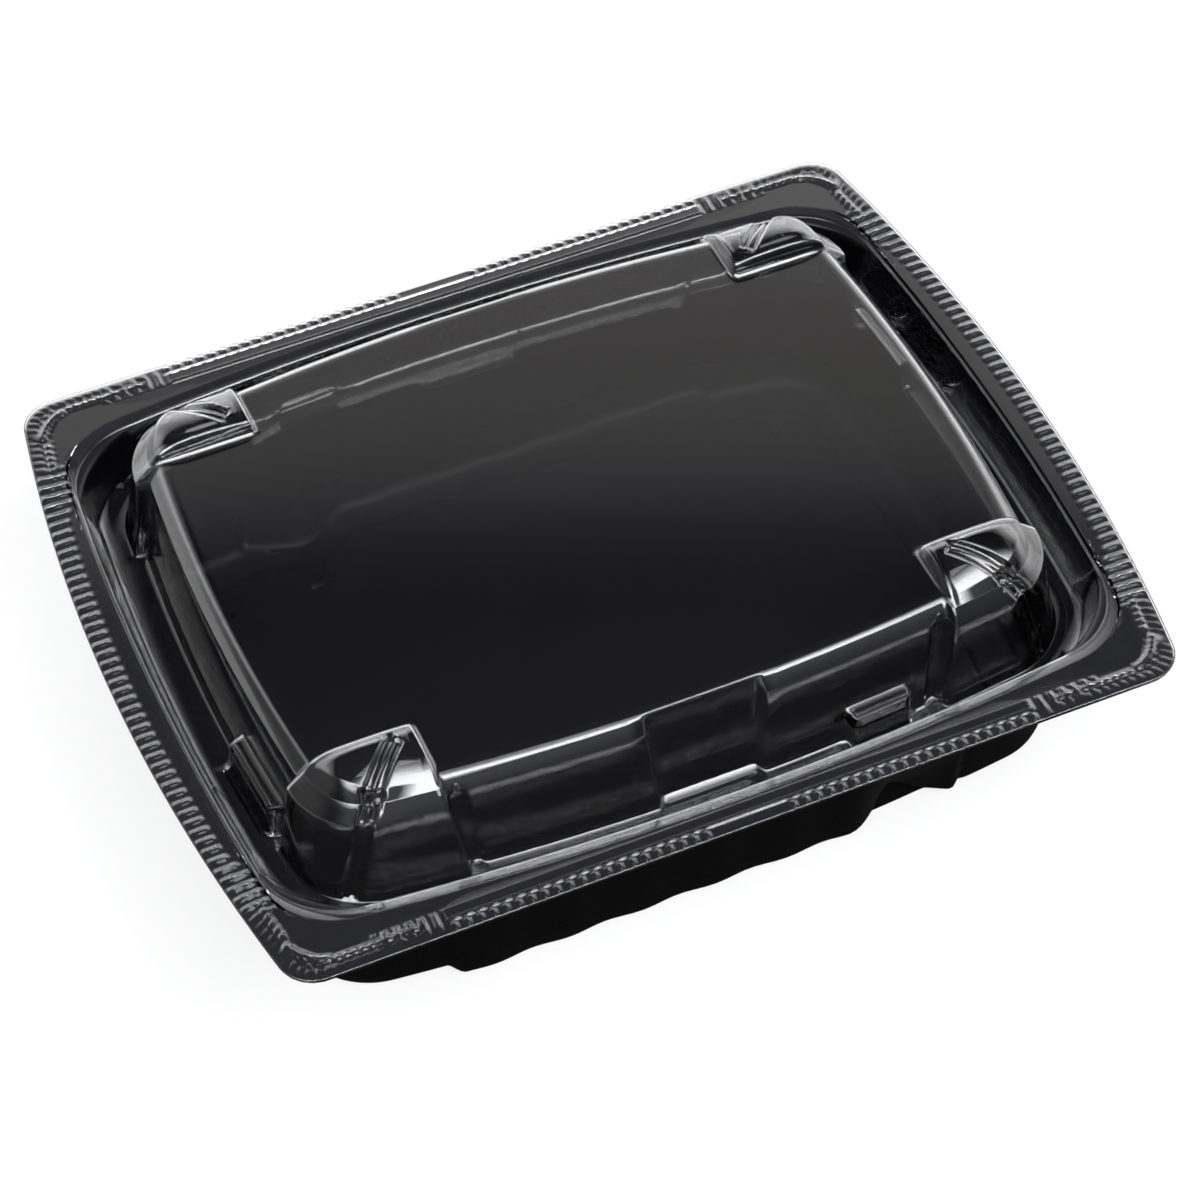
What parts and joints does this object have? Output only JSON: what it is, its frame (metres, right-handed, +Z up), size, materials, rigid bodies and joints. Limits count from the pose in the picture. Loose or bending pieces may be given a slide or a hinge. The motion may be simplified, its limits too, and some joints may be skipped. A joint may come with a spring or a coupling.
{
  "type": "takeaway food container",
  "caption": "Shallow rectangular tray with bowed ends and a clear inner-fit lid whose raised dome has a stacking post in each corner.",
  "frame": {"origin": "centre of the face that the tray stands on", "axes": "+X along the container's length, +Z up through the lid"},
  "size_m": [0.2168, 0.1758, 0.0635],
  "materials": {
    "tray_black": "gloss",
    "lid_clear": "clear gloss"
  },
  "bodies": {
    "tray": {"tray": "tray_black"},
    "lid": {"lid": "lid_clear"}
  },
  "joints": [
    {"name": "lid_lift", "type": "slide", "parent": "tray", "child": "lid", "axis": [0, 0, 1], "range_m": [0, 0.06]}
  ]
}
